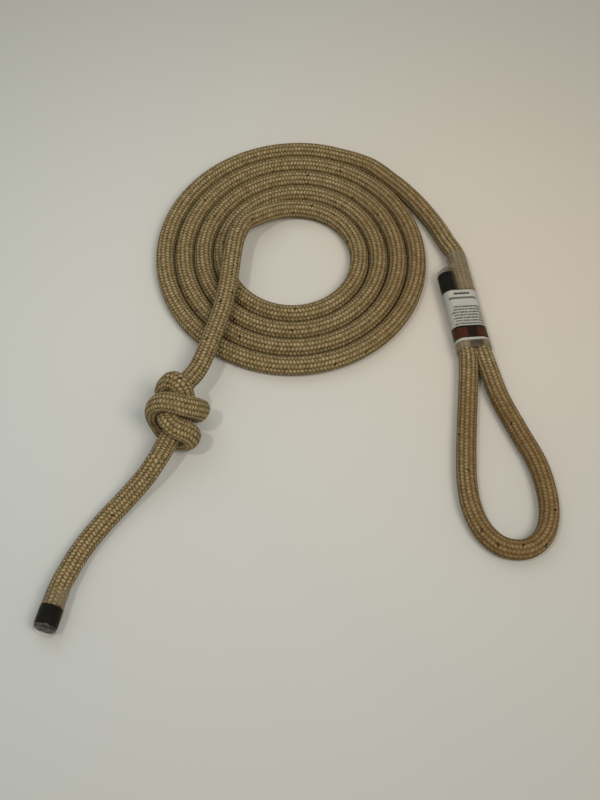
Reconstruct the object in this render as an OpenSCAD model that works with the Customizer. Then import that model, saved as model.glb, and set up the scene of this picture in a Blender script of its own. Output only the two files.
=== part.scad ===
// Short dynamic climbing rope: a kernmantle line with a sewn, sleeved eye at
// one end, a flat coil, a double overhand stopper knot and a capped free end.
// It lies on the plane z = 0. Sizes are in millimetres.

/* [Rope] */
// Diameter of the rope over its braided sheath
rope_d = 11; // [10.6:0.1:11]
// Wall of the braided sheath
sheath_t = 1.1; // [0.9:0.1:1.3]
// Free play between the core and the sheath
core_play = 0.1; // [0.05:0.05:0.2]

/* [Coil] */
// Radius of the centre line where the outer loop begins
coil_r = 81.6; // [80:0.2:84]
// Step from one loop to the next, centre to centre
coil_pitch = 11.45; // [11.45:0.05:11.8]
// Front-to-back size of the loops over their width
coil_oval = 1.02; // [1:0.01:1.04]
// Rise of the inner end as it climbs out of the coil
coil_lift = 5.5; // [5:0.5:7]

/* [Knot] */
// Width of a strand in the knot, along the knot
knot_wide = 10; // [9.6:0.1:10]
// Thickness of a strand in the knot, from the middle of the knot outwards
knot_thick = 7.6; // [7.2:0.1:7.6]

/* [Sewn eye] */
// Distance between the centres of the two legs that are sewn together
leg_gap = 8.4; // [8.2:0.1:9]
// Length of the short leg, from the eye to its cut end
short_leg = 53; // [53:1:56]
// Length of the clear sleeve over both legs
sleeve_len = 57; // [57:1:60]
// Length of the sleeve's collar, which hugs the long leg alone
collar_len = 9; // [6:1:10]
// Wall of the clear sleeve
sleeve_t = 0.5; // [0.4:0.1:0.5]
// Height of the label, along the legs
label_len = 33; // [30:0.5:33]
// Distance from the sleeve's lower edge to the label
label_at = 4.5; // [4:0.1:4.8]
// Stitches that sew the legs together
stitches = 9; // [5:1:12]
// Diameter of the sewing thread
thread_d = 0.8; // [0.6:0.1:1]

/* [End caps] */
// Length of the clear cap on the free end
cap_len = 23.5; // [23.5:0.5:26]
// Outer diameter of the clear cap
cap_d = 13.2; // [13.2:0.1:13.6]
// Length of the black tape under the free end's cap
tape_len = 10; // [8:0.5:11]
// Length of the black tape on the short leg's end
leg_tape_len = 14.5; // [10:0.5:14.5]

/* [Hidden] */
$fn = 36;

// ---- Derived sizes ----
rope_r = rope_d / 2;
bore_r = rope_r - sheath_t;
core_r = bore_r - core_play;
// A lying rope is cut flat a tenth of its diameter deep
lie_z = rope_r - rope_d / 10;
// Lowest point of the sheath's bore and of the core where the rope lies
bore_z = sheath_t / 2;
core_z = bore_z + core_play;
// Free play between pieces that lie on each other
skin_gap = 0.05;
label_t = 0.2;
tape_t = 0.25;
end_tape_t = 0.6;
seal_t = 1;
// How far a cut runs past the solid it goes through
over = 1;
sleeve_in = rope_r + label_t + 2 * skin_gap;
sleeve_out = sleeve_in + sleeve_t;

// ---- Where the pieces lie ----
// Middle of the sleeve's lower edge, and how far its legs turn from +Y towards -X
splice_at = [97, 7.3, sleeve_out];
splice_turn = 9;
splice_dir = [-sin(splice_turn), cos(splice_turn), 0];
splice_side = [cos(splice_turn), sin(splice_turn), 0];
long_leg_foot = splice_at + splice_side * leg_gap / 2;
short_leg_foot = splice_at - splice_side * leg_gap / 2;
long_leg = sleeve_len + collar_len;
long_leg_top = long_leg_foot + splice_dir * long_leg;
// Start of the free end's cap, and how far it turns from -Y towards -X
cap_at = [-124.9, -138.2, cap_d / 2];
cap_turn = 13.5;
cap_dir = [-sin(cap_turn), -cos(cap_turn), 0];
// From the cap's start to the rope's cut and to the tape, and the depth of the cap's lip
cap_rope = 20.4;
tape_at = 9;
cap_lip = 2;
rope_end = cap_at + cap_dir * cap_rope;

// ---- The coil: a flat spiral of four loops that draws in, then climbs out ----
coil_at = [-4.6, 74];
coil_start = 66.7;
coil_sweep = 1500;
coil_rings = 24;
climb_sweep = 60;
function coil_spot(a) =
    let (climb = max(0, (a - coil_sweep) / climb_sweep + 1), r = coil_r - coil_pitch * a / 360)
    [
        coil_at.x + r * cos(coil_start + a),
        coil_at.y + r * sin(coil_start + a) * coil_oval,
        lie_z + coil_lift * climb * climb
    ];
coil_out_dir = unit(coil_spot(0) - coil_spot(0.1));
coil_in_dir = unit(coil_spot(coil_sweep) - coil_spot(coil_sweep - 0.1));
coil_out = coil_spot(0) + coil_out_dir * rope_d;
coil_in = coil_spot(coil_sweep) + coil_in_dir * rope_d;
coil_path = concat(
    [coil_out],
    [for (a = [0 : 360 / coil_rings : coil_sweep]) coil_spot(a)],
    [coil_in]
);

// ---- The knot, in its own frame: across it, along it towards the coil, and up ----
knot_at = [-68.6, -39.7, 16.5];
knot_turn = 62;
knot_along = [cos(knot_turn), sin(knot_turn), 0];
knot_across = [sin(knot_turn), -cos(knot_turn), 0];
function knot_spot(p) = knot_at + knot_across * p.x + knot_along * p.y + [0, 0, p.z];
knot_spots = [
    [-4.5, 28, -1], [-5.5, 20, -1], [-6, 12, -2], [-5.2, 4, -2], [-3, -3, 1.5], [0.5, -8.5, 7],
    [6.5, -11, 7], [13, -9.5, 3], [14, -8.5, -4], [9.5, -9, -10], [0, -9, -12.5], [-7.5, -7, -8],
    [-10.8, -6.3, 0], [-9.8, -5.3, 8], [-5, -3.5, 13], [1, -2, 14], [6, 0, 12], [9.8, 3.5, 7],
    [10.8, 7, 0], [7.5, 9.5, -9], [1, 11, -12], [-7, 11, -12], [-13, 10, -7], [-14, 9, 1],
    [-10.2, 11, 9], [-4, 10.5, 10], [0.6, 7.2, 4], [4.2, 0, -2], [4, -9, -2], [4, -18, -2], [4, -27, -4]
];
knot_route = [for (p = knot_spots) knot_spot(p)];
knot_in = knot_route[0];
knot_out_end = knot_route[len(knot_route) - 1];

// ---- Routes of the free stretches, from the sewn eye to the free end ----
eye_route = [
    short_leg_foot, [93.3, -4, 5], [91.5, -24, lie_z], [89.5, -44, lie_z], [88, -62, lie_z],
    [87.5, -76, lie_z], [88.8, -90, lie_z], [93.4, -103, lie_z], [101.3, -111.8, lie_z],
    [110.5, -114.8, lie_z], [119, -113, lie_z], [126, -106, lie_z], [129.5, -95, lie_z],
    [129.5, -81, lie_z], [126, -64, lie_z], [118, -45, lie_z], [109.5, -24, lie_z], [104.4, -5, 5],
    long_leg_foot
];
lead_route = [
    long_leg_top, [86.4, 83.6, 5], [79.2, 99.5, lie_z], [68, 117, lie_z], [55, 132, lie_z], coil_out
];
crossing_route = [
    coil_in, [-39.5, 82, 15], [-42, 65, 15.6], [-43.5, 48, 15.6], [-46, 31, 15.6],
    [-51, 12, 15.6], [-55.5, -3, 15.6], knot_in
];
tail_route = [
    knot_out_end, [-85, -75.5, 8.5], [-95.6, -87.5, 5], [-105.3, -99.5, lie_z], [-115, -114, lie_z],
    [-120.9, -127, 5.6], cap_at, rope_end
];

// ---- Curves and tubes ----
function unit(v) = v / norm(v);
// Spot on the smooth curve from b to c, where a and e are the points before and after
function between(a, b, c, e, t) = 0.5 * (
    2 * b + (c - a) * t + (2 * a - 5 * b + 4 * c - e) * t * t + (3 * b - a - 3 * c + e) * t * t * t
);
// Smooth curve through the points p that starts along d0 and ends along d1, n steps to a span
function curve(p, d0, d1, n) =
    let (
        m = len(p),
        before = p[1] - 2 * norm(p[1] - p[0]) * d0,
        after = p[m - 2] + 2 * norm(p[m - 1] - p[m - 2]) * d1,
        q = concat([before], p, [after])
    )
    [
        for (i = [0 : m - 2], j = [0 : n - 1]) between(q[i], q[i + 1], q[i + 2], q[i + 3], j / n),
        p[m - 1]
    ];
// Directions along the path c, whose first and last are given
function heads(c, d0, d1) = [
    for (i = [0 : len(c) - 1]) i == 0 ? d0 : i == len(c) - 1 ? d1 : unit(c[i + 1] - c[i - 1])
];
function level_side(t) = unit(cross(t, [0, 0, 1]));
// Sideways direction at each ring: level all along
function level_sides(t) = [for (d = t) level_side(d)];
// Moves a corner off the splice's middle plane, to at least room from it on the side sign
function parted(q, sign, room) =
    q + splice_side * sign * max(0, room - sign * ((q - splice_at) * splice_side));
// Vertices of a ring of n corners about p, with half-width w along s and half-height h across it.
// A sign of 1 or -1 keeps them on that side of the splice's middle plane, and 0 leaves them free.
function ring(p, t, s, w, h, n, floor_z, sign = 0, room = 0) =
    let (u = cross(s, t))
    [
        for (k = [0 : n - 1])
            let (
                a = 360 * (k + (n % 4 == 0 ? 0.5 : 0)) / n,
                q = p + w * cos(a) * s + h * sin(a) * u,
                lying = [q.x, q.y, max(q.z, floor_z)]
            )
            sign == 0 ? lying : parted(lying, sign, room)
    ];
// Triangles of a tube's wall: m rings of n corners, the first of them number at
function wall_faces(m, n, at, inside) = [
    for (i = [0 : m - 2], k = [0 : n - 1])
        let (a = at + i * n + k, b = at + i * n + (k + 1) % n, c = b + n, e = a + n)
        each inside ? [[a, c, b], [a, e, c]] : [[a, b, c], [a, c, e]]
];
// Triangles that close the end of a solid tube
function disc_faces(n, at, last) = [
    for (k = [1 : n - 2]) last ? [at, at + k, at + k + 1] : [at, at + k + 1, at + k]
];
// Triangles that close the end of a hollow tube between its outer and its inner corners
function annulus_faces(n, out_at, in_at, last) = [
    for (k = [0 : n - 1])
        let (a = out_at + k, b = out_at + (k + 1) % n, c = in_at + (k + 1) % n, e = in_at + k)
        each last ? [[a, b, c], [a, c, e]] : [[a, c, b], [a, e, c]]
];
// Solid tube along the path c, with the half-sizes w and h; signs are its rings' sides of the splice
module solid_tube(c, t, s, w, h, n, floor_z, signs) {
    m = len(c);
    room = skin_gap + sheath_t + core_play;
    points = [for (i = [0 : m - 1]) each ring(c[i], t[i], s[i], w[i], h[i], n, floor_z, signs[i], room)];
    faces = concat(wall_faces(m, n, 0, false), disc_faces(n, 0, false), disc_faces(n, (m - 1) * n, true));
    polyhedron(points, faces, convexity = 12);
}
// Hollow tube along the path c, with a wall of sheath_t inside the half-sizes w and h
module hollow_tube(c, t, s, w, h, n, signs) {
    m = len(c);
    outer = [for (i = [0 : m - 1]) each ring(c[i], t[i], s[i], w[i], h[i], n, 0, signs[i], skin_gap)];
    inner = [
        for (i = [0 : m - 1])
            let (wi = w[i] - sheath_t, hi = h[i] - sheath_t)
            each ring(c[i], t[i], s[i], wi, hi, n, bore_z, signs[i], skin_gap + sheath_t)
    ];
    faces = concat(
        wall_faces(m, n, 0, false),
        wall_faces(m, n, m * n, true),
        annulus_faces(n, 0, m * n, false),
        annulus_faces(n, (m - 1) * n, (2 * m - 1) * n, true)
    );
    polyhedron(concat(outer, inner), faces, convexity = 12);
}
// The same value for each ring of the path c
function all_rings(c, value) = [for (p = c) value];
// Sides of the splice that the first and the last ring of the path c keep to
function end_signs(c, first, last) = [
    for (i = [0 : len(c) - 1]) i == 0 ? first : i == len(c) - 1 ? last : 0
];
// Round rope along a path: its sheath or its core
module rope_sheath(c, d0, d1, n, first = 0, last = 0) {
    t = heads(c, d0, d1);
    r = all_rings(c, rope_r);
    hollow_tube(c, t, level_sides(t), r, r, n, end_signs(c, first, last));
}
module rope_core(c, d0, d1, n, first = 0, last = 0) {
    t = heads(c, d0, d1);
    r = all_rings(c, core_r);
    solid_tube(c, t, level_sides(t), r, r, n, core_z, end_signs(c, first, last));
}

// ---- Paths of the free stretches ----
eye_path = curve(eye_route, -splice_dir, splice_dir, 1);
lead_path = curve(lead_route, splice_dir, -coil_out_dir, 1);
knot_in_dir = -knot_along;
crossing_path = curve(crossing_route, coil_in_dir, knot_in_dir, 1);
tail_path = curve(tail_route, knot_in_dir, cap_dir, 1);
knot_path = curve(knot_route, knot_in_dir, knot_in_dir, 2);

// ---- The knot's flattened strands ----
// Sideways direction in the knot: square to the way out from its middle line
function knot_out(p) = let (q = p - knot_at) q - knot_along * (q * knot_along);
knot_heads = heads(knot_path, knot_in_dir, knot_in_dir);
knot_last = len(knot_path) - 1;
// Rings over which a strand goes from round to flattened, and the pull upwards that
// turns its sides level at the knot's ends
grip_rings = 6;
end_pull = [0, 0, 6];
// How far each ring is from the knot's round ends: 0 at an end, 1 in the knot
function knot_grip(i) = min(1, i / grip_rings, (knot_last - i) / grip_rings);
knot_sides = [
    for (i = [0 : knot_last])
        let (g = knot_grip(i), out = (1 - g) * end_pull + g * knot_out(knot_path[i]))
        unit(cross(knot_heads[i], out))
];
knot_w = [for (i = [0 : knot_last]) rope_r + (knot_wide / 2 - rope_r) * knot_grip(i)];
knot_h = [for (i = [0 : knot_last]) rope_r + (knot_thick / 2 - rope_r) * knot_grip(i)];

// ---- Lengths and gaps ----
function sum(v, i = 0) = i == len(v) - 1 ? v[i] : v[i] + sum(v, i + 1);
function path_length(c) = sum([for (i = [1 : len(c) - 1]) norm(c[i] - c[i - 1])]);
// A tube's rings with a ring half way between each two, and on each a spot half way between corners
function halves(v, closed) = [
    for (i = [0 : len(v) - 1])
        each i < len(v) - 1 || closed ? [v[i], (v[i] + v[(i + 1) % len(v)]) / 2] : [v[i]]
];
function fine_rings(c, t, s, w, h, n) = [
    for (r = halves([for (i = [0 : len(c) - 1]) ring(c[i], t[i], s[i], w[i], h[i], n, 0)], false))
        halves(r, true)
];
// Rings whose middles are further apart than this aren't compared
reach = 1.3 * rope_d;
// Least distance between spots on rings that lie at least skip rings apart along the tube
function least_gap(rings, skip) =
    let (mid = [for (r = rings) sum(r) / len(r)])
    min([
        for (i = [0 : len(rings) - 1 - skip], j = [i + skip : len(rings) - 1])
            if (norm(mid[i] - mid[j]) < reach)
                min([for (a = rings[i], b = rings[j]) norm(a - b)])
    ]);

// ---- The rope's stretches ----
// Corners of a ring on the free stretches, and on the coil and the knot
rope_corners = 8;
coil_corners = 6;
rope_tint = [0.60, 0.52, 0.36];
core_tint = [0.93, 0.92, 0.88];
thread_tint = [0.17, 0.13, 0.11];
film_tint = [0.86, 0.85, 0.80, 0.35];
label_tint = [0.90, 0.90, 0.87];
tape_tint = [0.04, 0.04, 0.05];
seal_tint = [0.35, 0.34, 0.31];
module eye_sheath() {
    color(rope_tint) rope_sheath(eye_path, -splice_dir, splice_dir, rope_corners, -1, 1);
}
module eye_core() {
    color(core_tint) rope_core(eye_path, -splice_dir, splice_dir, rope_corners, -1, 1);
}
module lead_sheath() {
    color(rope_tint) rope_sheath(lead_path, splice_dir, -coil_out_dir, rope_corners);
}
module lead_core() {
    color(core_tint) rope_core(lead_path, splice_dir, -coil_out_dir, rope_corners);
}
module coil_sheath() {
    color(rope_tint) rope_sheath(coil_path, -coil_out_dir, coil_in_dir, coil_corners);
}
module coil_core() {
    color(core_tint) rope_core(coil_path, -coil_out_dir, coil_in_dir, coil_corners);
}
module crossing_sheath() {
    color(rope_tint) rope_sheath(crossing_path, coil_in_dir, knot_in_dir, rope_corners);
}
module crossing_core() {
    color(core_tint) rope_core(crossing_path, coil_in_dir, knot_in_dir, rope_corners);
}
module tail_sheath() {
    color(rope_tint) rope_sheath(tail_path, knot_in_dir, cap_dir, rope_corners);
}
module tail_core() {
    color(core_tint) rope_core(tail_path, knot_in_dir, cap_dir, rope_corners);
}
module knot_sheath() {
    free = all_rings(knot_path, 0);
    color(rope_tint) hollow_tube(knot_path, knot_heads, knot_sides, knot_w, knot_h, coil_corners, free);
}
module knot_core() {
    less = sheath_t + core_play;
    w = [for (a = knot_w) a - less];
    h = [for (a = knot_h) a - less];
    free = all_rings(knot_path, 0);
    color(core_tint) solid_tube(knot_path, knot_heads, knot_sides, w, h, coil_corners, core_z, free);
}

// ---- The sewn eye's straight legs ----
// Moves a shape from the splice's own frame, with +X towards the short leg,
// +Y up and +Z from the eye towards the lead
module at_splice() {
    translate(splice_at) rotate([90, 0, 180 + splice_turn]) children();
}
// Half of the pair: a circle of radius r about one leg's centre, cut short of the middle by back
module leg_face(side, r, back) {
    intersection() {
        translate([side * leg_gap / 2, 0]) circle(r);
        translate([side * (back + rope_d), 0]) square(2 * rope_d, center = true);
    }
}
// First and last stitch, from the sleeve's lower edge
stitch_first = 2.4;
stitch_last = label_at + label_len - 3;
stitch_step = (stitch_last - stitch_first) / (stitches - 1);
// Each stitch is a loop of thread through both legs, just outside their centres. Its
// upper and lower runs are pressed into the sheaths until they are all but level with
// them, and end inside the two posts that join them.
stitch_x = leg_gap / 2 + 0.2;
stitch_y = rope_r + 0.02 - thread_d / 2;
post_d = thread_d + 0.2;
run_end = 0.2;
// All the stitches, swelled by grow
module stitch_loops(grow) {
    for (i = [0 : stitches - 1]) translate([0, 0, stitch_first + i * stitch_step]) {
        for (side = [-1, 1]) translate([side * stitch_x, 0, 0]) rotate([90, 0, 0])
            cylinder(h = 2 * (stitch_y + run_end) + grow, d = post_d + grow, center = true);
        for (level = [-1, 1]) translate([0, level * stitch_y, 0]) rotate([0, 90, 0])
            cylinder(h = 2 * (stitch_x + run_end) + grow, d = thread_d + grow, center = true);
    }
}
module leg_sheath(side, long) {
    difference() {
        linear_extrude(long) difference() {
            leg_face(side, rope_r, 0);
            leg_face(side, bore_r, sheath_t);
        }
        stitch_loops(skin_gap);
    }
}
module leg_core(side, long) {
    difference() {
        linear_extrude(long) leg_face(side, core_r, sheath_t + core_play);
        stitch_loops(skin_gap);
    }
}
module short_leg_sheath() {
    color(rope_tint) at_splice() leg_sheath(1, short_leg - seal_t - skin_gap);
}
module short_leg_core() {
    color(core_tint) at_splice() leg_core(1, short_leg - seal_t - skin_gap);
}
module long_leg_sheath() {
    color(rope_tint) at_splice() leg_sheath(-1, long_leg);
}
module long_leg_core() {
    color(core_tint) at_splice() leg_core(-1, long_leg);
}
module eye_stitching() {
    color(thread_tint) at_splice() stitch_loops(0);
}
// Outline of both legs together, at a distance r from their centres
module pair_face(r) {
    for (side = [-1, 1]) translate([side * leg_gap / 2, 0]) circle(r);
    square([leg_gap, 2 * r], center = true);
}
module eye_sleeve() {
    color(film_tint) at_splice() difference() {
        union() {
            linear_extrude(sleeve_len) pair_face(sleeve_out);
            translate([-leg_gap / 2, 0, 0]) cylinder(h = long_leg, r = rope_r + skin_gap + sleeve_t);
        }
        translate([0, 0, -over]) linear_extrude(sleeve_len - sleeve_t + over) pair_face(sleeve_in);
        translate([-leg_gap / 2, 0, -over]) cylinder(h = long_leg + 2 * over, r = rope_r + skin_gap);
    }
}
module eye_label() {
    color(label_tint) at_splice() translate([0, 0, label_at]) linear_extrude(label_len) {
        difference() {
            pair_face(rope_r + skin_gap + label_t);
            pair_face(rope_r + skin_gap);
        }
    }
}
module short_leg_tape() {
    outer_r = rope_r + skin_gap + tape_t;
    // Cut short of the middle plane, where the long leg lies against the short one
    back = 3 * skin_gap;
    color(tape_tint) at_splice() translate([0, 0, short_leg - leg_tape_len])
        linear_extrude(leg_tape_len) difference() {
            leg_face(1, outer_r, back);
            leg_face(1, rope_r + skin_gap, 0);
        }
}
module short_leg_seal() {
    color(seal_tint) at_splice() translate([0, 0, short_leg - seal_t])
        linear_extrude(seal_t) leg_face(1, rope_r, 0);
}

// ---- The capped free end ----
// Moves a shape whose +Z runs out along the free end from the cap's start
module at_cap() {
    translate(cap_at) rotate([90, 0, -cap_turn]) children();
}
module free_end_tape() {
    color(tape_tint) at_cap() translate([0, 0, tape_at]) difference() {
        cylinder(h = tape_len, r = rope_r + skin_gap + end_tape_t);
        translate([0, 0, -over]) cylinder(h = tape_len + 2 * over, r = rope_r + skin_gap);
    }
}
module free_end_seal() {
    color(seal_tint) at_cap() translate([0, 0, cap_rope]) cylinder(h = seal_t, r = rope_r);
}
module free_end_cap() {
    color(film_tint) at_cap() difference() {
        cylinder(h = cap_len, d = cap_d);
        translate([0, 0, -over])
            cylinder(h = cap_len - cap_lip + over, r = rope_r + 2 * skin_gap + end_tape_t);
        translate([0, 0, -over]) cylinder(h = cap_len + 2 * over, r = rope_r - cap_lip);
    }
}

eye_sheath();
eye_core();
short_leg_sheath();
short_leg_core();
long_leg_sheath();
long_leg_core();
lead_sheath();
lead_core();
coil_sheath();
coil_core();
crossing_sheath();
crossing_core();
knot_sheath();
knot_core();
tail_sheath();
tail_core();
eye_stitching();
eye_sleeve();
eye_label();
short_leg_tape();
short_leg_seal();
free_end_tape();
free_end_seal();
free_end_cap();

union() {
    coil_heads = heads(coil_path, -coil_out_dir, coil_in_dir);
    coil_round = all_rings(coil_path, rope_r);
    coil_sides = level_sides(coil_heads);
    coil_fine = fine_rings(coil_path, coil_heads, coil_sides, coil_round, coil_round, coil_corners);
    knot_fine = fine_rings(knot_path, knot_heads, knot_sides, knot_w, knot_h, coil_corners);
    echo("least gap in the coil", least_gap(coil_fine, coil_rings));
    echo("least gap in the knot", least_gap(knot_fine, 2 * grip_rings));
    stretches = [
        ["short leg", short_leg], ["eye", path_length(eye_path)], ["long leg", long_leg],
        ["lead", path_length(lead_path)], ["coil", path_length(coil_path)],
        ["crossing", path_length(crossing_path)], ["knot", path_length(knot_path)],
        ["tail", path_length(tail_path)]
    ];
    for (s = stretches) echo(s[0], s[1]);
    echo("rope length", sum([for (s = stretches) s[1]]));
}
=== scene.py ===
import math
import bpy
import numpy as np
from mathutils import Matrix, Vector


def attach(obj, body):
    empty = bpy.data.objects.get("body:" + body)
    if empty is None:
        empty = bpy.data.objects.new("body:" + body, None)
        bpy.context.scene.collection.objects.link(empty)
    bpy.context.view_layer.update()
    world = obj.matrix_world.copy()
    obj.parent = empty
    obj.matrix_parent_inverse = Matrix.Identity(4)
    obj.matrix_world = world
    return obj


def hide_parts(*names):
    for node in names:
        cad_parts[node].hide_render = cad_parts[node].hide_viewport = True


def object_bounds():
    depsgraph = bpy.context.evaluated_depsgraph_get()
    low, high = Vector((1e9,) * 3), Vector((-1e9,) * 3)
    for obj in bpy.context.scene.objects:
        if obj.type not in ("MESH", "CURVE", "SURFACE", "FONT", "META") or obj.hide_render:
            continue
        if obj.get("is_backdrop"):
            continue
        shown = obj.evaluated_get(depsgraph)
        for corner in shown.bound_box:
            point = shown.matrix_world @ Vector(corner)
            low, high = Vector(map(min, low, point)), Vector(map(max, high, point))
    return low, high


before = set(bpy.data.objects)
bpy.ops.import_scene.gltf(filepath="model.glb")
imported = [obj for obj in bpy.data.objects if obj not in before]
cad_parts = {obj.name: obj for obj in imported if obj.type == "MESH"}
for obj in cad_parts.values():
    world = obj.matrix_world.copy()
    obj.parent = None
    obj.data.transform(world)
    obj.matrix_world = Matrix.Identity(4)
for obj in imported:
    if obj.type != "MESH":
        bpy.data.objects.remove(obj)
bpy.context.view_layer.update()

# ---- Camera ----
# It stands 0.67 m from the middle of the rope and looks down on it at 60
# degrees, with a 36 mm lens on a 24 mm sensor.
CAMERA_TILT = 30
lens = bpy.data.cameras.new("camera")
lens.sensor_width, lens.lens = 24, 36
camera = bpy.data.objects.new("camera", lens)
camera.location = (-0.002, -0.3591, 0.5832)
camera.rotation_euler = (math.radians(CAMERA_TILT), 0, 0)
bpy.context.collection.objects.link(camera)
bpy.context.scene.camera = camera
bpy.context.scene.view_settings.view_transform = "Standard"

# ---- The rope's route ----
# One kernmantle rope, 11 mm thick and 2.5 m long, runs from the short leg's cut
# end round the sewn eye to the clear cap. It follows the CAD's points, given in
# millimetres; where it lies on the floor, its middle is at LIE_Z.
MM = 0.001
ROPE_R = 5.5 * MM
LIE_Z = 4.4 * MM
up = np.array([0.0, 0.0, 1.0])


def turn_dir(degrees, x_sign, y_sign):
    """Level unit vector that leans that far from the Y axis."""
    a = math.radians(degrees)
    return np.array([x_sign * math.sin(a), y_sign * math.cos(a), 0.0])


splice_at = np.array([97, 7.3, 6.3]) * MM
splice_dir = turn_dir(9, -1, 1)
splice_side = np.array([splice_dir[1], -splice_dir[0], 0.0])
SHORT_LEG, LONG_LEG, LEG_OFF = 53 * MM, 66 * MM, 4.2 * MM
long_foot = splice_at + LEG_OFF * splice_side
short_foot = splice_at - LEG_OFF * splice_side
long_top = long_foot + LONG_LEG * splice_dir
short_top = short_foot + SHORT_LEG * splice_dir
cap_at = np.array([-124.9, -138.2, 6.6]) * MM
cap_dir = turn_dir(13.5, -1, -1)
CUT_IN_CAP = 20.4 * MM
rope_end = cap_at + CUT_IN_CAP * cap_dir
# The coil's middle, its first radius and what each turn draws in, in mm; then
# the angle it starts at, its span and how much of that climbs, in degrees
COIL_X, COIL_Y, COIL_R, COIL_PITCH = -4.6, 74, 81.6, 11.45
COIL_START, COIL_SPAN, CLIMB_SPAN = 66.7, 1500, 60
COIL_STRETCH, CLIMB = 1.02, 5.5 * MM
LEAD_IN = 11 * MM


def coil_spot(turn):
    """Point of the flat spiral after that many degrees: its radius shrinks in
    step with the turn, and over the last ones it climbs with their square."""
    turn = np.asarray(turn, float)
    climb = np.maximum(0, (turn - COIL_SPAN) / CLIMB_SPAN + 1)
    r = (COIL_R - COIL_PITCH * turn / 360) * MM
    a = np.radians(COIL_START + turn)
    return np.stack([
        COIL_X * MM + r * np.cos(a),
        COIL_Y * MM + r * np.sin(a) * COIL_STRETCH,
        LIE_Z + CLIMB * climb**2,
    ], -1)


def unit(v):
    """Each vector over its own length."""
    return v / np.linalg.norm(v, axis=-1, keepdims=True)


coil_out_dir = unit(coil_spot(0) - coil_spot(0.1))
coil_in_dir = unit(coil_spot(COIL_SPAN) - coil_spot(COIL_SPAN - 0.1))
coil_out = coil_spot(0) + LEAD_IN * coil_out_dir
coil_in = coil_spot(COIL_SPAN) + LEAD_IN * coil_in_dir
knot_at = np.array([-68.6, -39.7, 16.5]) * MM
knot_turn = math.radians(62)
knot_along = np.array([math.cos(knot_turn), math.sin(knot_turn), 0.0])
knot_across = np.array([knot_along[1], -knot_along[0], 0.0])


def knot_spot(points):
    """Points in space from places across the knot, along it and up, in mm."""
    p = np.array(points, float) * MM
    return knot_at + p[..., :1] * knot_across + p[..., 1:2] * knot_along + p[..., 2:] * up


knot_points = knot_spot([
    [-4.5, 28, -1], [-5.5, 20, -1], [-6, 12, -2], [-5.2, 4, -2], [-3, -3, 1.5],
    [0.5, -8.5, 7], [6.5, -11, 7], [13, -9.5, 3], [14, -8.5, -4], [9.5, -9, -10],
    [0, -9, -12.5], [-7.5, -7, -8], [-10.8, -6.3, 0], [-9.8, -5.3, 8], [-5, -3.5, 13],
    [1, -2, 14], [6, 0, 12], [9.8, 3.5, 7], [10.8, 7, 0], [7.5, 9.5, -9],
    [1, 11, -12], [-7, 11, -12], [-13, 10, -7], [-14, 9, 1], [-10.2, 11, 9],
    [-4, 10.5, 10], [0.6, 7.2, 4], [4.2, 0, -2], [4, -9, -2], [4, -18, -2], [4, -27, -4],
])
eye_points = np.vstack([short_foot, np.array([
    [93.3, -4, 5], [91.5, -24, 4.4], [89.5, -44, 4.4], [88, -62, 4.4], [87.5, -76, 4.4],
    [88.8, -90, 4.4], [93.4, -103, 4.4], [101.3, -111.8, 4.4], [110.5, -114.8, 4.4],
    [119, -113, 4.4], [126, -106, 4.4], [129.5, -95, 4.4], [129.5, -81, 4.4],
    [126, -64, 4.4], [118, -45, 4.4], [109.5, -24, 4.4], [104.4, -5, 5],
]) * MM, long_foot])
lead_points = np.vstack([long_top, np.array([
    [86.4, 83.6, 5], [79.2, 99.5, 4.4], [68, 117, 4.4], [55, 132, 4.4],
]) * MM, coil_out])
coil_points = np.vstack([coil_out, coil_spot(np.arange(0, COIL_SPAN + 1, 15)), coil_in])
crossing_points = np.vstack([coil_in, np.array([
    [-39.5, 82, 15], [-42, 65, 15.6], [-43.5, 48, 15.6], [-46, 31, 15.6],
    [-51, 12, 15.6], [-55.5, -3, 15.6],
]) * MM, knot_points[0]])
tail_points = np.vstack([knot_points[-1], np.array([
    [-85, -75.5, 8.5], [-95.6, -87.5, 5], [-105.3, -99.5, 4.4], [-115, -114, 4.4],
    [-120.9, -127, 5.6],
]) * MM, cap_at, rope_end])


def smooth_path(points, first_dir, last_dir, step):
    """Points about one step apart along the smooth curve through these points.

    Between two points the curve is the Catmull-Rom cubic of those two and
    their neighbours. A neighbour is added before the first point and after
    the last, so that the curve starts and ends along the given directions.
    """
    first_gap = np.linalg.norm(points[1] - points[0])
    last_gap = np.linalg.norm(points[-1] - points[-2])
    q = np.vstack([points[1] - 2 * first_gap * first_dir, points,
                   points[-2] + 2 * last_gap * last_dir])
    t = np.linspace(0, 1, 33)[:-1, None]
    a, b, c, d = (q[None, k:len(q) - 3 + k] for k in range(4))
    t = t[:, :, None]
    spots = 0.5 * (2 * b + (c - a) * t + (2 * a - 5 * b + 4 * c - d) * t**2
                   + (3 * b - a - 3 * c + d) * t**3)
    spots = np.vstack([spots.transpose(1, 0, 2).reshape(-1, 3), points[-1]])
    run = np.append(0, np.cumsum(np.linalg.norm(np.diff(spots, axis=0), axis=1)))
    count = max(2, round(run[-1] / step))
    at = np.linspace(0, run[-1], count + 1)
    return np.stack([np.interp(at, run, spots[:, k]) for k in range(3)], -1)


def headings(path, first_dir, last_dir):
    """Unit directions along a path, whose first and last are given."""
    t = unit(np.gradient(path, axis=0))
    t[0], t[-1] = first_dir, last_dir
    return t


# ---- Braided sheath ----
# Khaki nylon, braided in one tube over the core from 12 yarns that wind each
# way. Each yarn floats over two others and dives under two, so that the floats
# stand in 12 columns. A PICK is the rope's length from one float to the next.
YARNS = 12
PICK = 2.05 * MM
RINGS_PER_PICK = 5
ROUND = 6 * YARNS
# The relief of a braid height of 1, and the height that lies at ROPE_R
RELIEF, BASE_HEIGHT = 0.28 * MM, 0.85
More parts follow.
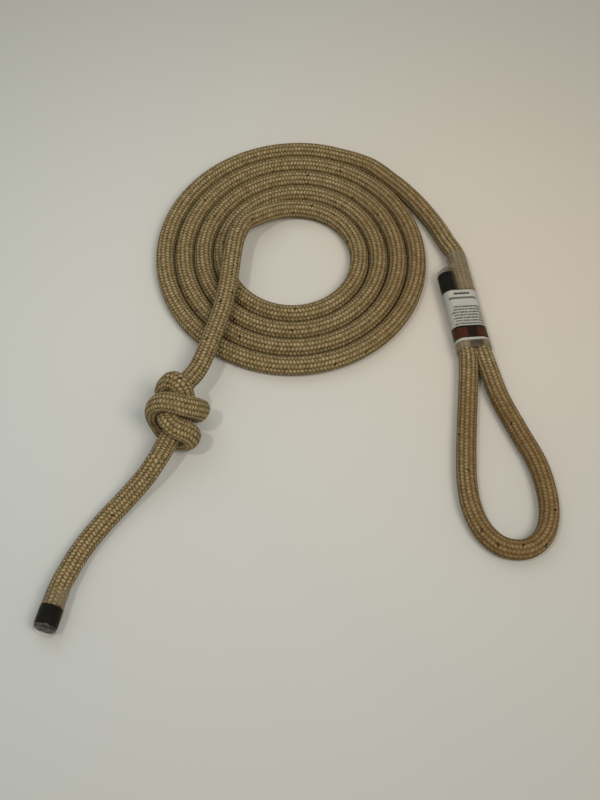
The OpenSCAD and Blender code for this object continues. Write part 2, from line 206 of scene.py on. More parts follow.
# How far a float is moved along from column to column, in lays; how much lower
# a yarn is at its sides than at its middle; and how sharply it rises and dives
LEAN, ARCH, CREST = 0.45 / (YARNS * math.pi), 0.8, 1.5
FILAMENTS = 9


def braid_height(around, along):
    """Height of the upper yarn where the rope is turned `around` of a full
    turn and lies `along` lays down: each yarn is an arch across its width,
    plus a wave along it that is high on its floats and low on its dives. A
    wave from column to column turns the floats nearly square to the rope."""
    along = along + LEAN * np.cos(YARNS * np.pi * around - np.pi / 4)
    a, b = YARNS * (around + along), YARNS * (around - along)
    i, j = np.floor(a), np.floor(b)
    one = np.minimum(CREST * np.cos(np.pi / 2 * (i + b - 1)), 1)
    two = np.minimum(-CREST * np.cos(np.pi / 2 * (a + j - 1)), 1)
    return np.maximum(one - ARCH * (2 * (a - i - 0.5))**2, two - ARCH * (2 * (b - j - 0.5))**2)


def skin(name, rings, uv, material, loop=False):
    """Mesh over a grid of rings, m by n by 3. Seen the way they run, each ring
    turns anticlockwise and closes on itself. With loop, the last ring joins the
    first one; otherwise each end is one flat face. uv has one column more than
    the rings, and with loop one row more."""
    m, n = rings.shape[:2]
    rows = m if loop else m - 1
    i, k = np.arange(rows)[:, None], np.arange(n)[None, :]
    here, there = i * n + k, i * n + (k + 1) % n
    next_here, next_there = (here + n) % (m * n), (there + n) % (m * n)
    quads = np.stack([here, next_here, next_there, there], -1).reshape(-1)
    quad_uv = np.stack([uv[i, k], uv[i + 1, k], uv[i + 1, k + 1], uv[i, k + 1]], 2)
    quad_uv = quad_uv.reshape(-1, 2)
    starts = np.arange(rows * n) * 4
    if not loop:
        quads = np.concatenate([quads, np.arange(n), np.arange(m * n - 1, m * n - n - 1, -1)])
        quad_uv = np.vstack([quad_uv, uv[0, :n], uv[-1, n - 1::-1][:n]])
        starts = np.append(starts, [rows * n * 4, rows * n * 4 + n])
    mesh = bpy.data.meshes.new(name)
    mesh.vertices.add(m * n)
    mesh.vertices.foreach_set("co", np.ascontiguousarray(rings, np.float32).ravel())
    mesh.loops.add(len(quads))
    mesh.loops.foreach_set("vertex_index", quads.astype(np.int32))
    mesh.polygons.add(len(starts))
    mesh.polygons.foreach_set("loop_start", starts.astype(np.int32))
    mesh.uv_layers.new(name="UVMap").data.foreach_set("uv", quad_uv.astype(np.float32).ravel())
    mesh.update(calc_edges=True)
    mesh.validate()
    mesh.shade_smooth()
    mesh.materials.append(material)
    piece = bpy.data.objects.new(name, mesh)
    bpy.context.collection.objects.link(piece)
    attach(piece, "root")
    return piece


class Wire:
    """A node's output that takes part in sums; numbers may stand on either side."""

    def __init__(self, tree, out=None):
        self.tree, self.out = tree, out

    def node(self, kind, *inputs, out=0, **settings):
        """Adds a node of this kind, with its inputs in order, and gives one output."""
        made = self.tree.nodes.new("ShaderNode" + kind)
        for key, value in settings.items():
            setattr(made, key, value)
        for socket, value in zip(made.inputs, inputs):
            if isinstance(value, Wire):
                self.tree.links.new(value.out, socket)
            elif value is not None:
                socket.default_value = value
        return Wire(self.tree, made.outputs[out])

    def parts(self):
        """The X, Y and Z of a vector."""
        outputs = self.node("SeparateXYZ", self).out.node.outputs
        return [Wire(self.tree, out) for out in outputs]

    def spread(self):
        """Where a point lies on the piece's UV map, across and along."""
        return self.node("UVMap").parts()[:2]

    def place(self):
        """Where a point lies in the object's own frame."""
        return self.node("TexCoord", out=3)

    def math(self, operation, *others):
        """This number and the others through a Math node."""
        return self.node("Math", self, *others, operation=operation)

    def __add__(self, other):
        return self.math("ADD", other)

    def __sub__(self, other):
        return self.math("SUBTRACT", other)

    def __rsub__(self, other):
        return self.node("Math", other, self, operation="SUBTRACT")

    def __mul__(self, other):
        return self.math("MULTIPLY", other)

    def __truediv__(self, other):
        return self.math("DIVIDE", other)

    __radd__, __rmul__ = __add__, __mul__

    def step(self, low, high):
        """0 up to low and 1 from high on, smooth between them."""
        return self.node("MapRange", self, low, high, 0.0, 1.0, interpolation_type="SMOOTHSTEP")

    def mix(self, first, second):
        """The first colour at 0 and the second one at 1."""
        return self.node("Mix", self, *[None] * 5, first, second, out=2, data_type="RGBA")

    def join(self, y, z):
        """A vector of this number and two more."""
        return self.node("CombineXYZ", self, y, z)

    def noise(self, scale, detail=2.0):
        """Soft noise from 0 to 1, whose lumps are about 1 / scale across."""
        return self.node("TexNoise", self, None, scale, detail, 0.5)

    def cell(self):
        """One random number for each whole-number spot."""
        return self.node("TexWhiteNoise", self, noise_dimensions="3D")


def look(name, **constants):
    """A material whose shader has these constant inputs, and its first wire."""
    material = bpy.data.materials.new(name)
    material.use_nodes = True
    shader = material.node_tree.nodes["Principled BSDF"]
    for key, value in constants.items():
        shader.inputs[key.replace("_", " ")].default_value = value
    return material, Wire(material.node_tree)


def feed(material, **wires):
    """Joins wires to the shader's inputs of those names."""
    shader = material.node_tree.nodes["Principled BSDF"]
    for key, wire in wires.items():
        material.node_tree.links.new(wire.out, shader.inputs[key.replace("_", " ")])


def bump(height, strength, distance):
    """A normal that leans as this height does."""
    return height.node("Bump", strength, distance, None, height)


def rgba(red, green, blue):
    """An opaque colour."""
    return (red, green, blue, 1.0)


# The braid again, as in braid_height; each yarn and each float has its own tint
sheath_look, w = look("braided nylon", Specular_IOR_Level=0.12, Sheen_Weight=0.03,
                      Sheen_Roughness=0.4)
around, along = w.spread()
place = w.place()
east, north, above = place.parts()
along = along + (around * (YARNS * math.pi) - math.pi / 4).math("COSINE") * LEAN
a, b = (around + along) * YARNS, (around - along) * YARNS
i, j = a.math("FLOOR"), b.math("FLOOR")
one = (((i + b - 1) * (math.pi / 2)).math("COSINE") * CREST).math("MINIMUM", 1)
two = (((a + j - 1) * (math.pi / 2)).math("COSINE") * -CREST).math("MINIMUM", 1)
one = one - ((a - i - 0.5) * 2).math("POWER", 2) * ARCH
two = two - ((b - j - 0.5) * 2).math("POWER", 2) * ARCH
upper = one.math("GREATER_THAN", two)
height = one.math("MAXIMUM", two)
yarn = upper.node("Mix", upper, None, j + 40, i)
tint = yarn.math("FLOORED_MODULO", YARNS).join(upper, 3).cell()
float_run = upper.node("Mix", upper, None, (a + j - 1) / 4, (i + b + 1) / 4)
pick = yarn.join(float_run.math("FLOOR"), upper).cell()
strands = upper.node("Mix", upper, None, b * FILAMENTS + 30, a * FILAMENTS)
strand_run = upper.node("Mix", upper, None, a * 1.2, b * 1.2)
filament = strands.join(strand_run, 0.0).noise(1.0)
body = filament * 0.45 + pick * 0.4 + tint * 0.15
high = body.mix(rgba(0.145, 0.098, 0.036), rgba(0.518, 0.412, 0.226))
# Painted light and shade: the floats' crests are painted light and the gaps
# between them dark; towards +X more of this painted shade lies in dark lines between the
# columns, with light ones along their middles
low = place.noise(520.0).step(0.3, 0.7)
low = low.mix(rgba(0.048, 0.026, 0.007), rgba(0.166, 0.104, 0.032))
column_light = (around * (2 * math.pi * YARNS)).math("SINE") * -0.5 + 0.5
column_share = east.step(-0.02, 0.06) * 0.3 + 0.25
shade = height.step(0.35, 1.0) * (1 - column_share) + column_light * column_share
base = shade.mix(low, high)
# Wear in patches, dirt from handling round the eye, painted shade along the
# coil's right side and on the flanks near the floor, and a dark fleck on a float here and there
wear = place.noise(60.0, 3.0).step(0.3, 0.7)
base = (wear * 0.15).mix(base, rgba(0.17, 0.125, 0.05))
handled = east.step(0.075, 0.095) * (1 - north.step(-0.04, 0.01))
# Painted shade darkens and browns the coil's right side and the lead, in the same dark brown as
# the eye's dirt
right_side_shade = east.step(0.01, 0.06) - east.step(0.078, 0.086)
base = (handled * 0.48 + right_side_shade * 0.27).mix(base, rgba(0.115, 0.050, 0.008))
# Painted shade: the rope's flanks near the floor are darkened
floor_shade = 1 - above.step(0.001, 0.0055)
base = (floor_shade * 0.45).mix(base, rgba(0.035, 0.016, 0.004))
fleck = (pick + handled * 0.018).step(0.991, 0.992)
fleck = fleck * float_run.math("FRACT").step(0.50, 0.62)
base = (fleck * 0.9).mix(base, rgba(0.018, 0.009, 0.003))
feed(sheath_look, Base_Color=base, Roughness=0.75 - shade * 0.25,
     Normal=bump(height * 0.7 + filament * 0.5, 0.6, 0.0002))

# How far the braid has run along the rope so far, and how far it has turned
progress = {"lays": 0.0, "turn": 0.0}


def sheath(points, first_dir, last_dir, shape=None, squeeze=None, pick=PICK):
    """Braided tube along a stretch of the route, which goes on where the
    stretch before it ended. shape gives each ring's sideways direction,
    half-width and half-thickness; squeeze moves points that press on others."""
    path = smooth_path(points, first_dir, last_dir, pick / RINGS_PER_PICK)
    t = headings(path, first_dir, last_dir)
    side, half_w, half_h = shape(path, t) if shape else (unit(np.cross(t, up)), ROPE_R, ROPE_R)
    top = np.cross(side, t)
    half_w, half_h = (np.broadcast_to(np.reshape(h, (-1, 1, 1)), (len(path), 1, 1))
                      for h in (half_w, half_h))
    roll = np.append(0, np.cumsum((np.diff(side, axis=0) * (top[1:] + top[:-1]) / 2).sum(1)))
    around = np.arange(ROUND + 1) / ROUND + ((roll + progress["turn"]) / (2 * np.pi))[:, None]
    lays = progress["lays"] + np.arange(len(path)) / (RINGS_PER_PICK * YARNS)
    along = np.broadcast_to(lays[:, None], around.shape)
    angle = 2 * np.pi * np.arange(ROUND)[None, :, None] / ROUND
    lift = RELIEF * (braid_height(around, along)[:, :ROUND, None] - BASE_HEIGHT)
    rings = (path[:, None] + (half_w + lift) * np.cos(angle) * side[:, None]
             + (half_h + lift) * np.sin(angle) * top[:, None])
    if squeeze:
        rings = squeeze(rings)
    rings[..., 2] = np.maximum(rings[..., 2], 0)
    progress["lays"], progress["turn"] = lays[-1], progress["turn"] + roll[-1]
    return rings, np.stack([around, along], -1), path


def sheath_piece(name, node, stretch, first=0, last=None):
    """One piece from the rings of a stretch, first to last."""
    rings, uv = stretch[0][first:last], stretch[1][first:last]
    piece = skin(name, rings, uv, sheath_look)
    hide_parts(node)
    return piece


# A sleeve or tape presses the rope this much thinner, which fades out so far
HOLD, FADE = 0.2 * MM, 10 * MM


def held_shape(path, t):
    """Round rope that is held over its whole length."""
    return unit(np.cross(t, up)), ROPE_R - HOLD, ROPE_R - HOLD


def round_shape(held_first=None, held_last=None):
    """Round rope that is held over these lengths at its ends, and whose radius
    then grows by a smooth step to the free rope's."""
    def shape(path, t):
        run = np.arange(len(path)) * PICK / RINGS_PER_PICK
        free = np.ones(len(path))
        for held, way in (held_first, run), (held_last, run[::-1]):
            if held is not None:
                free = np.minimum(free, np.clip((way - held) / FADE, 0, 1))
        r = ROPE_R - HOLD * (1 - free * free * (3 - 2 * free))
        return unit(np.cross(t, up)), r, r
    return shape


# The two legs press on each other from this far below the sleeve, and stop
# this short of the middle plane between them
PRESS_FROM, PRESS_GAP = -16 * MM, 0.03 * MM


def part_legs(rings, sign):
    """Moves each point that passes the middle plane between the legs back to
    it; sign is 1 on the long leg's side and -1 on the short leg's."""
    across = (rings - splice_at) @ splice_side
    near = (rings - splice_at) @ splice_dir > PRESS_FROM
    over = np.minimum(across * sign - PRESS_GAP, 0) * near
    return rings - (over * sign)[..., None] * splice_side


def eye_sides(rings):
    """The eye starts on the short leg's side and ends on the long leg's."""
    return part_legs(rings, np.where(np.arange(len(rings)) < len(rings) / 2, -1, 1)[:, None])


# The knot's tighter braid, the length over which its grip grows, how much wider
# and thinner it presses its strands, and how firmly they lie upright before
KNOT_PICK, GRIP_RUN = 1.5 * MM, 24 * MM
GRIP_WIDER, GRIP_THINNER, UPRIGHT = 0.5 * MM, 1.1 * MM, 6 * MM


def knot_shape(path, t):
    """In the knot the strands are pressed flat against its middle line: their
    thin way goes over from upright to straight away from that line."""
    run = np.arange(len(path)) * KNOT_PICK / RINGS_PER_PICK / GRIP_RUN
    grip = np.minimum(1, np.minimum(run, run[::-1]))[:, None]
    q = path - knot_at
    out = (1 - grip) * UPRIGHT * up + grip * (q - knot_along * (q @ knot_along)[:, None])
    grip = grip[:, 0]
    return (unit(np.cross(t, out)), ROPE_R + GRIP_WIDER * grip,
            ROPE_R - GRIP_THINNER * grip)


SEAL_GAP = 1.1 * MM
short_leg = sheath(np.array([short_top - SEAL_GAP * splice_dir, short_foot]),
                   -splice_dir, -splice_dir, held_shape, lambda rings: part_legs(rings, -1))
eye = sheath(eye_points, -splice_dir, splice_dir, round_shape(0, 0), eye_sides)
long_leg = sheath(np.array([long_foot, long_top]), splice_dir, splice_dir, held_shape,
                  lambda rings: part_legs(rings, 1))
lead = sheath(lead_points, splice_dir, -coil_out_dir, round_shape(held_first=0))
coil = sheath(coil_points, -coil_out_dir, coil_in_dir)
crossing = sheath(crossing_points, coil_in_dir, -knot_along)
knot = sheath(knot_points, -knot_along, -knot_along, knot_shape, pick=KNOT_PICK)
tail = sheath(tail_points, -knot_along, cap_dir, round_shape(held_last=12 * MM))

sheath_piece("short_leg_braid", "short_leg_sheath", short_leg)
sheath_piece("long_leg_braid", "long_leg_sheath", long_leg)
eye_braid = sheath_piece("eye_braid", "eye_sheath", eye)
lead_braid = sheath_piece("lead_braid", "lead_sheath", lead)
crossing_braid = sheath_piece("crossing_braid", "crossing_sheath", crossing)
knot_braid = sheath_piece("knot_braid", "knot_sheath", knot)
tail_braid = sheath_piece("tail_braid", "tail_sheath", tail)
# The coil is one length of rope, in three pieces for the size of its mesh
cuts = [0, len(coil[0]) // 3, 2 * len(coil[0]) // 3, len(coil[0]) - 1]
coil_braids = [
    sheath_piece(f"coil_braid_{k + 1}", "coil_sheath", coil, cuts[k], cuts[k + 1] + 1)
    for k in range(3)
]

# ---- Core ----
# White nylon strands, twisted and laid side by side, fill the sheath. They are
# seen only where the rope is cut open.
CORE_STRANDS = 8
CORE_INSET, STRAND_DEPTH = 1.3 * MM, 0.16 * MM
CORE_EVERY, CORE_CORNERS = 4, 40
core_look, w = look("twisted core strands", Roughness=0.6, Sheen_Weight=0.2)
around, along = w.spread()
twist = around * CORE_STRANDS + along * CORE_STRANDS
strand = (twist.math("FRACT") - 0.5).math("ABSOLUTE") * 2
fibre = (around * 90 + along * 160).join(along * 9, 0.0).noise(1.0)
# Painted shade: the grooves between the strands are darker than their middles
base = fibre * 0.6 + (1 - strand) * 0.4
base = base.mix(rgba(0.55, 0.52, 0.45), rgba(0.86, 0.84, 0.79))
feed(core_look, Base_Color=base, Normal=bump(fibre, 0.4, 0.0002))


def core_piece(name, node, stretch):
    """Lobed tube inside a stretch of the sheath: every fourth ring of the
    sheath, drawn in towards its middle, with a lobe for each strand. The lobes
    are a cosine of the turn plus the lay."""
    rings, uv = stretch[0][::CORE_EVERY], stretch[1][::CORE_EVERY]
    pick = np.round(np.arange(CORE_CORNERS) * ROUND / CORE_CORNERS).astype(int)
    middle = rings.mean(1, keepdims=True)
    arm = rings[:, pick] - middle
    r = np.linalg.norm(arm, axis=-1, keepdims=True)
    at = uv[:, np.append(pick, ROUND)]
    lobes = np.cos(2 * np.pi * CORE_STRANDS * (at[:, :-1, 0] + at[:, :-1, 1]))[..., None]
    inner = middle + arm / r * (r - CORE_INSET - STRAND_DEPTH * (1 - lobes))
    piece = skin(name, inner, at, core_look)
    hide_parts(node)
    return piece


core_piece("short_leg_strands", "short_leg_core", short_leg)
core_piece("long_leg_strands", "long_leg_core", long_leg)
eye_strands = core_piece("eye_strands", "eye_core", eye)
lead_strands = core_piece("lead_strands", "lead_core", lead)
coil_strands = core_piece("coil_strands", "coil_core", coil)
crossing_strands = core_piece("crossing_strands", "crossing_core", crossing)
knot_strands = core_piece("knot_strands", "knot_core", knot)
tail_strands = core_piece("tail_strands", "tail_core", tail)

# ---- Stitching ----
# Dark polyester thread: a bar tack of five rows below the label, and then one
# zigzag through both legs under it.
STITCH_R, STITCH_STEP, STITCH_CORNERS = 0.42 * MM, 0.35 * MM, 10
TACK_ROWS, TACK_FROM, TACK_PITCH = 5, -1.0, 0.8
ZIGS, ZIG_FROM, ZIG_PITCH, ZIG_SIDE = 23, 3.9, 1.35, 6.6
thread_look, w = look("sewing thread", Roughness=0.6, Specular_IOR_Level=0.2, Sheen_Weight=0.05)
around, along = w.spread()
ply = (around * 3 + along * 900).math("FRACT")
base = ply.mix(rgba(0.008, 0.007, 0.006), rgba(0.045, 0.038, 0.032))
feed(thread_look, Base_Color=base, Normal=bump(ply, 0.6, 0.0002))
# The needle's points in mm: across the legs, up, and along them. Each row of
# the tack goes back the other way; each zig goes over to the other side
zig = []
for k in range(TACK_ROWS):
    t = TACK_FROM + TACK_PITCH * k
    zig += [[-3.0, 4.0, t], [-2.3, 5.25, t], [1.0, 5.4, t], [4.2, 5.45, t],
            [5.4, 4.4, t]][::1 - 2 * (k % 2)]
for k in range(ZIGS):
    x = -ZIG_SIDE if k % 2 else ZIG_SIDE
    t = ZIG_FROM + ZIG_PITCH * k
    zig += [[x * 0.97, 3.4, t - 0.25], [x, 2.4, t], [x * 0.97, 3.4, t + 0.25],
            [x * 0.64, 4.9, t + 0.42], [0, 4.95, t + ZIG_PITCH / 2], [-x * 0.64, 4.9, t + 0.93]]
zig = np.array(zig) * MM
zig = splice_at + zig[:, :1] * splice_side + zig[:, 1:2] * up + zig[:, 2:] * splice_dir
path = smooth_path(zig, splice_side, splice_side, STITCH_STEP)
t = headings(path, splice_side, splice_side)
side = unit(np.cross(t, splice_dir))
top = np.cross(side, t)
angle = (2 * np.pi * np.arange(STITCH_CORNERS) / STITCH_CORNERS)[None, :, None]
rings = path[:, None] + STITCH_R * (np.cos(angle) * side[:, None]
                                    + np.sin(angle) * top[:, None])
uv = np.broadcast_arrays(np.arange(STITCH_CORNERS + 1)[None] / STITCH_CORNERS,
                         np.arange(len(path))[:, None] * STITCH_STEP)
stitching = skin("eye_stitches", rings, np.stack(uv, -1), thread_look)
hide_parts("eye_stitching")

# ---- Label ----
# White printed film wrapped round both legs, under the sleeve. It carries plain
# dark rules, rows of short dashes and one dark red-brown band.
WRAP_CORNERS = 96
LABEL_R, LABEL_INNER_R, LABEL_LEAN = 5.76 * MM, 5.62 * MM, -0.09


def splice_rings(t, radius, across_short, lean=0.0):
    """Rings round both legs, square to them, at distances t from the sleeve's
    lower edge. The sideways place is r cos a plus the middle of the circle it
    is on, which goes over from the short leg's, at across_short, to the long
    leg's where a passes the top. t grows by lean times the sideways place."""
    t, radius, short = (np.broadcast_to(v, np.shape(t))[:, None]
                        for v in (t, radius, across_short))
    a = 2 * np.pi * np.arange(WRAP_CORNERS)[None] / WRAP_CORNERS
    part = np.clip(np.cos(a) * 6, -1, 1) / 2 + 0.5
    x = radius * np.cos(a) + short + (LEG_OFF - short) * part
    y = radius * np.sin(a)
    t = t + lean * x
    return (splice_at + x[..., None] * splice_side + t[..., None] * splice_dir
            + y[..., None] * up)


def wrap_uv(rings, t):
    """Distance round the ring from its top, and distance along t, in metres."""
    closed = np.concatenate([rings, rings[:, :1]], 1)
    run = np.cumsum(np.linalg.norm(np.diff(closed, axis=1), axis=-1), axis=1)
    run = np.concatenate([np.zeros((len(rings), 1)), run], 1)
    top = run[:, rings.shape[1] // 4, None]
    return np.stack([run - top, np.broadcast_to(np.reshape(t, (-1, 1)), run.shape)], -1)


def film(name, t, outer, inner, material, node):
    """Closed wall between outer rings and inner rings, whose UV distances are t."""
    rings = np.concatenate([outer, inner[::-1]])
    uv = wrap_uv(rings, np.concatenate([t, t[::-1]]))
    piece = skin(name, rings, np.concatenate([uv, uv[:1]]), material, loop=True)
    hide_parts(node)


# Printed in mm: x is the way round from the top, y the way along the legs
label_look, w = look("printed label", Roughness=0.5, Specular_IOR_Level=0.1)
across, along = w.spread()
x, y = across * 1000, along * 1000


def between(value, low, high, soft=0.12):
    """1 where the value lies between the two and 0 outside, with soft edges."""
    return value.step(low - soft, low + soft) * (1 - value.step(high - soft, high + soft))


ROWS_FROM, ROWS_TO, ROW_PITCH = 13.3, 26.9, 1.95
row = (y - ROWS_FROM) / ROW_PITCH
line = row.math("FLOOR")
margin = line.join(0, 4).cell() * 2.5
word = (x * 0.45 + line * 0.37).math("FRACT").step(0.06, 0.10)
dash = (x * 3.4).math("FLOOR").join(line, 2).cell().step(0.05, 0.35)
rows = between(row.math("FRACT"), 0.22, 0.82, 0.08) * word * (dash * 0.6 + 0.4)
rows = rows * between(y, ROWS_FROM, ROWS_TO) * between(x, -9.2, 9.6)
rows = rows * (x + margin - 9).math("LESS_THAN", 0)
rule = between(y, 31.4, 32.9) * between(x, -8.2, 8.2)
head = between(y, 34.5, 35.9) * (x * 1.9).math("FLOOR").join(3, 3).cell().step(0.15, 0.2)
head = head * between(x, -4.6, 4.6)
paper = (x * 0.4).join(y * 0.4, 0).noise(1.0, 3.0)
paper = paper.mix(rgba(0.348, 0.338, 0.290), rgba(0.505, 0.492, 0.428))
ink = (rows * 0.85).mix(paper, rgba(0.030, 0.030, 0.025))
ink = (rule * 0.8).mix(ink, rgba(0.05, 0.045, 0.035))
ink = (head * 0.9).mix(ink, rgba(0.03, 0.027, 0.02))
block = between(x, -3.2, 2.2, 0.6) * between(y, 5.0, 12.8)
band = (block * 0.85).mix(rgba(0.050, 0.012, 0.003), rgba(0.003, 0.001, 0.001))
band = between(y, 5.3, 11.6, 0.5).mix(rgba(0.006, 0.003, 0.002), band)
ink = between(y, 4.7, 13.0).mix(ink, band)
grain = (x * 2).join(y * 2, 0).noise(1.0)
feed(label_look, Base_Color=ink, Normal=bump(grain, 0.15, 0.0002))
t = np.array([3.1, 3.2, 7, 10, 14, 18, 22, 26, 30, 34, 37.6, 37.7]) * MM
film("label_wrap", t, splice_rings(t, LABEL_R, -LEG_OFF, LABEL_LEAN),
     splice_rings(t, LABEL_INNER_R, -LEG_OFF, LABEL_LEAN), label_look, "eye_label")

# ---- Tape and fused end of the short leg ----
# Black vinyl tape, wound round the braid, holds it at the cut, and the cut
# itself is melted shut.
tape_look, w = look("black tape", Specular_IOR_Level=0.04)
place = w.place()
crepe, patch = place.noise(900.0, 3.0), place.noise(160.0)
feed(tape_look, Base_Color=patch.mix(rgba(0.002, 0.002, 0.002), rgba(0.009, 0.009, 0.008)),
     Roughness=crepe * 0.25 + 0.38, Normal=bump(crepe, 0.2, 0.0002))
melt_look, w = look("melted nylon", Roughness=0.45, Specular_IOR_Level=0.3)
blot = w.place().noise(420.0, 4.0)
base = blot.step(0.42, 0.68).mix(rgba(0.012, 0.010, 0.008), rgba(0.10, 0.092, 0.072))
feed(melt_look, Base_Color=base, Normal=bump(blot, 0.5, 0.0004))
LEG_CORNERS = 64


def leg_rings(t, radius):
    """Circles round the short leg, at distances t from the sleeve's lower edge,
    flattened at the middle plane between the legs."""
    a = 2 * np.pi * np.arange(LEG_CORNERS)[None] / LEG_CORNERS
    t, radius = np.reshape(t, (-1, 1)), np.reshape(radius, (-1, 1))
    x = np.minimum(-LEG_OFF + radius * np.cos(a), -0.05 * MM)
    y = radius * np.sin(a)
    return (splice_at + x[..., None] * splice_side + y[..., None] * up
            + t[..., None] * splice_dir)


def melted_end(name, rings, node):
    """Blunt dome over a cut, one ring after another out to its middle."""
    piece = skin(name, rings, np.zeros((len(rings), rings.shape[1] + 1, 2)), melt_look)
    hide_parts(node)


t = np.array([38.7, 38.75, 40, 42.5, 42.7, 46, 48, 50, 51.8, 51.9]) * MM
swell = np.array([0, 0.05, 0.05, 0.05, 0.16, 0.16, 0.15, 0.17, 0.17, 0.1]) * MM
film("short_leg_band", t, leg_rings(t, 5.52 * MM + swell), leg_rings(t, 5.40 * MM + 0 * swell),
     tape_look, "short_leg_tape")
t = np.array([51.95, 52.0, 52.3, 52.6, 52.85, 53.0]) * MM
radius = np.array([5.2, 5.3, 5.25, 4.9, 4.0, 2.2]) * MM
melted_end("short_leg_melt", leg_rings(t, radius), "short_leg_seal")

# ---- Clear sleeve of the sewn eye ----
# Clear heat-shrink tube over both legs and the label. Past the short leg's end
# it draws in to the long leg.
SLEEVE_WALL = 0.3 * MM
clear_look, w = look("clear shrink film", Specular_IOR_Level=0.25, Coat_Weight=0.15,
                     Coat_Roughness=0.06)
across, along = w.spread()
x, y = across * 1000, along * 1000
place = w.place()
haze, ripple = place.noise(170.0, 3.0), place.noise(90.0)
edge = w.node("LayerWeight", 0.25, out=1)
# Milky over the tape, at the collar and at the lower edge, but not on the tack
milky = y.step(37.5, 39) * (1 - x.step(-2, 3.6)) + y.step(53, 56) + 1 - y.step(2.6, 3.6)
tack = between(x, -5.0, 2.7, 0.5) * between(y, -1.2, 2.8, 0.3)
milky = milky.math("MINIMUM", 1) * (1 - tack * 0.75)
feed(clear_look, Base_Color=haze.mix(rgba(0.235, 0.180, 0.105), rgba(0.36, 0.285, 0.175)),
     Alpha=milky * (haze * 0.30 + 0.14) + edge * edge * 0.4 + 0.006,
     Roughness=haze * 0.12 + 0.08, Normal=bump(ripple, 0.25, 0.0006))
t = np.array([-1.6, -1.3, 0.5, 6, 12, 18, 24, 30, 36, 38, 42, 46, 50, 52, 53.4, 54.2, 55,
              55.8, 56.6, 57.4, 58.2, 59.5, 61, 63, 65, 65.7, 66]) * MM
short = np.interp(t / MM, [0, 53.4, 54.4, 55.4, 56.4, 57.4, 58.4, 66],
                  [-4.2, -4.2, -3.7, -2.2, 0.4, 2.7, 3.9, 4.15]) * MM
radius = np.interp(t / MM, [-1.6, 2, 37, 39, 52, 55, 58, 66],
                   [6.24, 6.2, 6.24, 6.1, 6.08, 5.92, 5.88, 5.9]) * MM
radius = radius + 0.05 * MM * np.sin(t / MM * 0.55)
film("clear_sleeve", t, splice_rings(t, radius, short),
     splice_rings(t, radius - SLEEVE_WALL, short), clear_look, "eye_sleeve")

# ---- Free end: black tape, melted end and clear cap ----
# The same tape is wound round the rope's other end, whose cut is melted shut.
# A clear tube with a closed-in end is shrunk over both.
CAP_CORNERS, CAP_WALL = 72, 0.25 * MM
cap_side = unit(np.cross(cap_dir, up))


def cap_rings(t, radius):
    """Circles about the rope's last stretch, at distances t from the cap's start."""
    a = 2 * np.pi * np.arange(CAP_CORNERS)[None] / CAP_CORNERS
    t, radius = np.reshape(t, (-1, 1)), np.reshape(radius, (-1, 1))
    x, y = radius * np.cos(a), radius * np.sin(a)
    return cap_at + x[..., None] * cap_side + y[..., None] * up + t[..., None] * cap_dir


t = np.array([9, 9.1, 9.5, 12, 12.15, 16, 18.8, 18.95, 19]) * MM
swell = np.array([0, 0.3, 0.42, 0.45, 0.53, 0.5, 0.52, 0.4, 0.2]) * MM
film("free_end_band", t, cap_rings(t, 5.56 * MM + swell), cap_rings(t, 5.42 * MM + 0 * swell),
     tape_look, "free_end_tape")
t = np.array([19.0, 19.05, 19.6, 20.4, 20.8, 21.05, 21.2, 21.15, 21.0]) * MM
radius = np.array([5.45, 5.55, 5.75, 5.8, 5.6, 5.2, 4.6, 3.0, 1.0]) * MM
melted_end("free_end_melt", cap_rings(t, radius), "free_end_seal")
t = np.array([0, 0.3, 1.5, 5, 8.5, 9.5, 13, 18, 19.5, 21, 22.0, 22.8, 23.3, 23.5]) * MM
outer = np.array([5.9, 5.96, 5.9, 5.9, 6.05, 6.38, 6.42, 6.4, 6.38, 6.3, 6.1, 5.7, 5.1,
                  4.4]) * MM
inner = np.minimum(outer - CAP_WALL, np.array([9] * 10 + [5.6, 4.9, 4.3, 3.9]) * MM)
# Its UV distances are shortened, so that the milky edge reaches up to the tape
film("clear_cap", t * 0.38, cap_rings(t, outer), cap_rings(t, inner), clear_look,
     "free_end_cap")


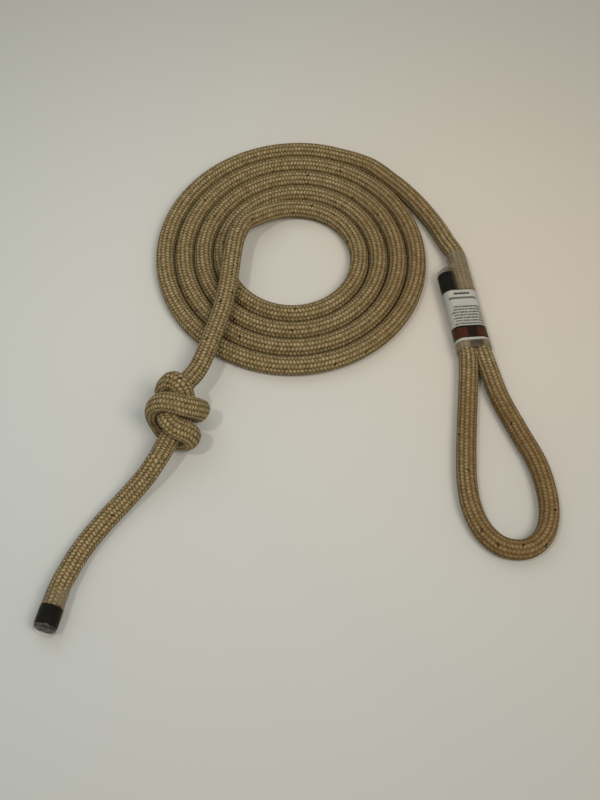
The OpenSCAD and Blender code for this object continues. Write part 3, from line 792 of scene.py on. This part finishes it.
# ---- Floor and light ----
# A pale studio floor, a broad warm light from the right and a cooler one from
# the left.
floor_look, w = look("studio floor", Roughness=0.9)
place = w.place()
east, north, _ = place.parts()
# Painted light on the floor: warm to the right where the warm light falls, cooler and darker at
# the front, and darker away from the middle as a pool of light
warm, near = east.step(-0.25, 0.25), 1 - north.step(-0.25, 0.10)
painted_light_tone = warm.mix(rgba(0.59, 0.60, 0.56), rgba(0.630, 0.545, 0.435))
painted_light_tone = (near * 0.60).mix(painted_light_tone, rgba(0.515, 0.54, 0.53))
painted_light_tone = (warm * near * 0.35).mix(painted_light_tone, rgba(0.46, 0.45, 0.42))
far = place.node("VectorMath", place, (-0.02, -0.01, 0), out=1, operation="DISTANCE")
feed(floor_look, Base_Color=far.step(0.05, 0.50).mix(painted_light_tone, rgba(0.375, 0.368, 0.328)))
FLOOR_HALF, FLOOR_Z = 12, -0.0002
corners = [(x * FLOOR_HALF, y * FLOOR_HALF, FLOOR_Z)
           for x, y in ((-1, -1), (1, -1), (1, 1), (-1, 1))]
mesh = bpy.data.meshes.new("floor")
mesh.from_pydata(corners, [], [(0, 1, 2, 3)])
mesh.materials.append(floor_look)
floor = bpy.data.objects.new("floor", mesh)
bpy.context.collection.objects.link(floor)
floor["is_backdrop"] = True


def area_light(name, place, size, power, colour):
    """Square light that faces the middle of the floor."""
    light = bpy.data.lights.new(name, "AREA")
    light.size, light.energy, light.color = size, power, colour
    lamp = bpy.data.objects.new(name, light)
    lamp.location = place
    back = unit(np.array(place, float))
    lamp.rotation_euler = (math.acos(back[2]), 0, math.atan2(back[1], back[0]) + math.pi / 2)
    bpy.context.collection.objects.link(lamp)


area_light("key light", (0.85, -0.8, 1.8), 0.9, 21, (1.0, 0.94, 0.85))
area_light("fill light", (-0.7, 1.2, 1.8), 1.6, 8, (0.86, 0.95, 1.0))
area_light("small light", (-0.70, -0.50, 2.0), 0.08, 8, (1.0, 0.96, 0.88))
world = bpy.data.worlds.new("studio")
world.use_nodes = True
sky = world.node_tree.nodes["Background"]
sky.inputs["Color"].default_value = rgba(0.93, 0.97, 1.0)
sky.inputs["Strength"].default_value = 0.37
bpy.context.scene.world = world

low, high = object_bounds()
